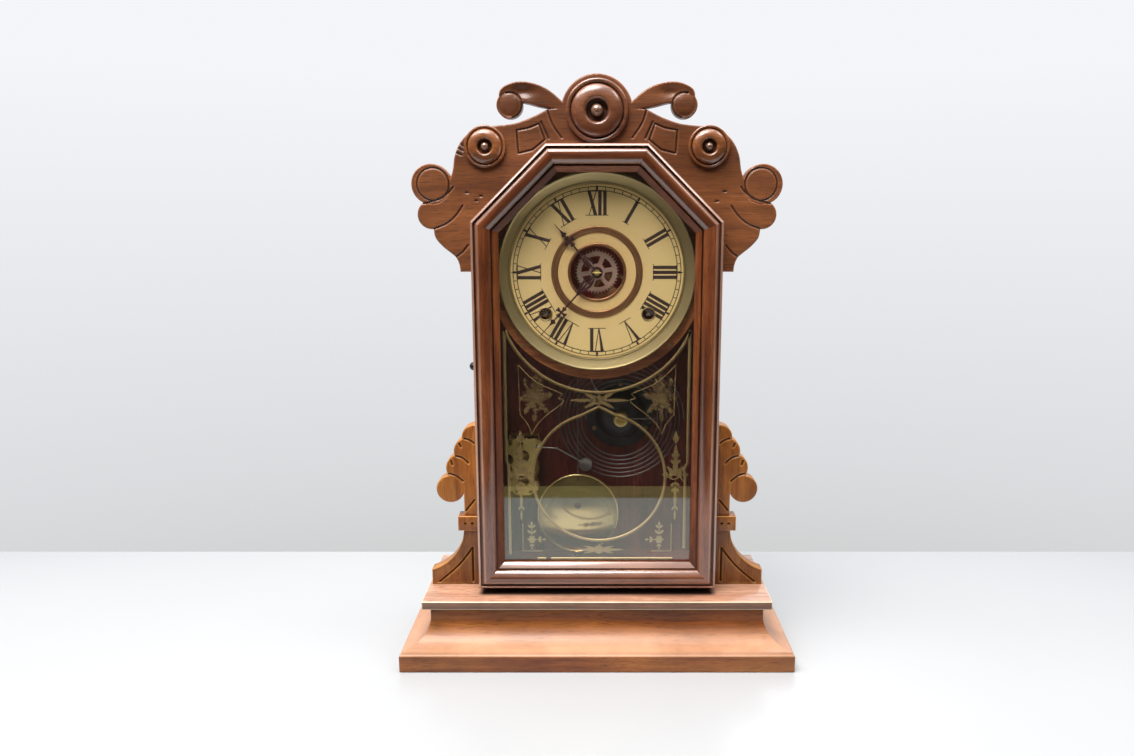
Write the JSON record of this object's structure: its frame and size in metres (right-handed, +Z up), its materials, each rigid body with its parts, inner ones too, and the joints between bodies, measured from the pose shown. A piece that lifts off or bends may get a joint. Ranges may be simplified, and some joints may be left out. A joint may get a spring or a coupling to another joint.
{
  "type": "shelf clock",
  "caption": "Carved walnut shelf clock with an octagon-topped glazed door, printed dial, spring movement, pendulum, coil gong and alarm on a moulded base.",
  "frame": {"origin": "middle of the base underside, on the surface the clock stands on", "axes": "+Z up, +X to the viewer's right when facing the dial, +Y towards the back"},
  "size_m": [0.365, 0.137, 0.5385],
  "materials": {
    "walnut_base": "satin shellac over walnut, worn",
    "walnut_frame": "satin shellac over walnut",
    "walnut_carving": "satin shellac over walnut, edges worn",
    "walnut_turning": "turned walnut, dark polish",
    "case_wood": "plain stained wood",
    "interior_stain": "dark maroon stain",
    "dial_wood": "stained board",
    "glass": "old window glass with gilt printing",
    "bezel_brass": "spun brass, slightly tarnished",
    "movement_brass": "stamped brass, aged",
    "steel": "drawn steel wire and turned arbors",
    "spring_steel": "blued strip",
    "gong_wire": "flattened gong wire, dull",
    "iron": "black cast iron",
    "dial_paper": "cream dial sheet on zinc",
    "hand_black": "dark lacquered steel",
    "catch_black": "black lacquered iron",
    "hinge_brass": "stained brass"
  },
  "bodies": {
    "case": {"base_top_board": "walnut_base", "base_mouldings": "walnut_base", "base_back_rail": "case_wood", "case_floor": "interior_stain", "case_left_side": "case_wood", "case_right_side": "case_wood", "case_roof_boards": "case_wood", "backboard": "interior_stain", "dial_board": "dial_wood", "crest_board": "walnut_carving", "centre_rosette": "walnut_turning", "side_rosettes": "walnut_turning", "rosette_buttons": "walnut_turning", "left_bracket": "walnut_base", "right_bracket": "walnut_base", "hinge_case_leaves": "hinge_brass", "fixing_screws": "hinge_brass", "dial_plate": "dial_paper", "dial_bezel": "bezel_brass", "front_plate": "movement_brass", "back_plate": "movement_brass", "plate_pillars": "movement_brass", "movement_blocks": "case_wood", "mainsprings": "spring_steel", "suspension_cock": "movement_brass", "gong_base": "iron", "gong_boss": "movement_brass", "gong_coil": "gong_wire", "alarm_frame": "movement_brass"},
    "door": {"door_left_stile": "walnut_frame", "door_right_stile": "walnut_frame", "door_slopes": "walnut_frame", "door_top_rail": "walnut_frame", "door_bottom_rail": "walnut_frame", "door_glass": "glass", "glass_beads": "walnut_frame", "hinge_door_leaves": "hinge_brass"},
    "catch": {"catch_button": "catch_black"},
    "minute": {"centre_arbor": "movement_brass", "minute_hand": "hand_black"},
    "minute_wheel": {"minute_wheel": "movement_brass"},
    "hour": {"hour_wheel": "movement_brass", "hour_hand": "hand_black"},
    "time_winding": {"time_winding_arbor": "steel"},
    "time_great": {"time_great_wheel": "movement_brass"},
    "second": {"second_wheel": "movement_brass"},
    "centre": {"centre_wheel": "movement_brass"},
    "third": {"third_wheel": "movement_brass"},
    "escape": {"escape_wheel": "movement_brass"},
    "verge": {"verge": "steel"},
    "pendulum": {"pendulum_rod": "steel", "pendulum_bob": "bezel_brass"},
    "strike_winding": {"strike_winding_arbor": "steel"},
    "strike_great": {"strike_great_wheel": "movement_brass"},
    "count": {"count_wheel": "movement_brass"},
    "strike_pin": {"strike_pin_wheel": "movement_brass"},
    "fly": {"strike_fly": "movement_brass"},
    "strike_hammer": {"strike_hammer": "steel"},
    "alarm_wheel": {"alarm_wheel": "movement_brass"},
    "alarm_hammer": {"alarm_hammer": "steel"}
  },
  "joints": [
    {"name": "door_hinge", "type": "hinge", "parent": "case", "child": "door", "pos_m": [0.1124, -0.012, 0.27], "axis": [0, 0, 1], "range_deg": [0, 90]},
    {"name": "catch_turn", "type": "hinge", "parent": "door", "child": "catch", "pos_m": [-0.112, -0.0205, 0.279], "axis": [1, 0, 0], "range_deg": [0, 90]},
    {"name": "minute_turn", "type": "hinge", "parent": "case", "child": "minute", "pos_m": [0, 0, 0.364], "axis": [0, -1, 0], "continuous": true},
    {"name": "minute_wheel_turn", "type": "hinge", "parent": "case", "child": "minute_wheel", "pos_m": [0.01501, 0, 0.34479], "axis": [0, -1, 0], "continuous": true},
    {"name": "hour_turn", "type": "hinge", "parent": "case", "child": "hour", "pos_m": [0, 0, 0.364], "axis": [0, -1, 0], "continuous": true},
    {"name": "time_winding_turn", "type": "hinge", "parent": "case", "child": "time_winding", "pos_m": [0.0475, 0, 0.3256], "axis": [0, -1, 0], "continuous": true},
    {"name": "centre_turn", "type": "hinge", "parent": "case", "child": "centre", "pos_m": [0, 0, 0.364], "axis": [0, -1, 0], "continuous": true},
    {"name": "third_turn", "type": "hinge", "parent": "case", "child": "third", "pos_m": [-0.00025, 0, 0.384], "axis": [0, -1, 0], "continuous": true},
    {"name": "escape_turn", "type": "hinge", "parent": "case", "child": "escape", "pos_m": [-0.0187, 0, 0.383], "axis": [0, -1, 0], "continuous": true},
    {"name": "second_turn", "type": "hinge", "parent": "case", "child": "second", "pos_m": [0.01784, 0, 0.34139], "axis": [0, -1, 0], "continuous": true},
    {"name": "time_great_turn", "type": "hinge", "parent": "case", "child": "time_great", "pos_m": [0.0475, 0, 0.3256], "axis": [0, -1, 0], "continuous": true},
    {"name": "pendulum_swing", "type": "hinge", "parent": "case", "child": "pendulum", "pos_m": [-0.0187, 0, 0.404], "axis": [0, -1, 0], "range_deg": [-5, 5]},
    {"name": "verge_rock", "type": "hinge", "parent": "case", "child": "verge", "pos_m": [-0.0187, 0, 0.404], "axis": [0, -1, 0], "range_deg": [-5, 5]},
    {"name": "strike_winding_turn", "type": "hinge", "parent": "case", "child": "strike_winding", "pos_m": [-0.0475, 0, 0.3256], "axis": [0, -1, 0], "continuous": true},
    {"name": "strike_great_turn", "type": "hinge", "parent": "case", "child": "strike_great", "pos_m": [-0.0475, 0, 0.3256], "axis": [0, -1, 0], "continuous": true},
    {"name": "strike_pin_turn", "type": "hinge", "parent": "case", "child": "strike_pin", "pos_m": [-0.0388, 0, 0.35806], "axis": [0, -1, 0], "continuous": true},
    {"name": "fly_turn", "type": "hinge", "parent": "case", "child": "fly", "pos_m": [-0.04219, 0, 0.37726], "axis": [0, -1, 0], "continuous": true},
    {"name": "count_turn", "type": "hinge", "parent": "case", "child": "count", "pos_m": [-0.0475, 0, 0.3256], "axis": [0, -1, 0], "continuous": true},
    {"name": "strike_hammer_swing", "type": "hinge", "parent": "case", "child": "strike_hammer", "pos_m": [-0.016, 0, 0.296], "axis": [0, -1, 0], "range_deg": [0, 12]},
    {"name": "alarm_wheel_turn", "type": "hinge", "parent": "case", "child": "alarm_wheel", "pos_m": [-0.074, 0, 0.165], "axis": [0, -1, 0], "continuous": true},
    {"name": "alarm_hammer_swing", "type": "hinge", "parent": "case", "child": "alarm_hammer", "pos_m": [-0.0605, 0, 0.189], "axis": [0, -1, 0], "range_deg": [0, 9]}
  ],
  "couplings": [
    {"joint": "minute_wheel_turn", "follows": "minute_turn", "ratio": -0.33333},
    {"joint": "hour_turn", "follows": "minute_turn", "ratio": 0.083333},
    {"joint": "third_turn", "follows": "centre_turn", "ratio": -9},
    {"joint": "escape_turn", "follows": "centre_turn", "ratio": 90},
    {"joint": "second_turn", "follows": "centre_turn", "ratio": -0.14286},
    {"joint": "time_great_turn", "follows": "centre_turn", "ratio": 0.02381},
    {"joint": "verge_rock", "follows": "pendulum_swing", "ratio": 1},
    {"joint": "strike_pin_turn", "follows": "strike_great_turn", "ratio": -6},
    {"joint": "fly_turn", "follows": "strike_great_turn", "ratio": 52.5},
    {"joint": "count_turn", "follows": "strike_great_turn", "ratio": 0.61538}
  ]
}
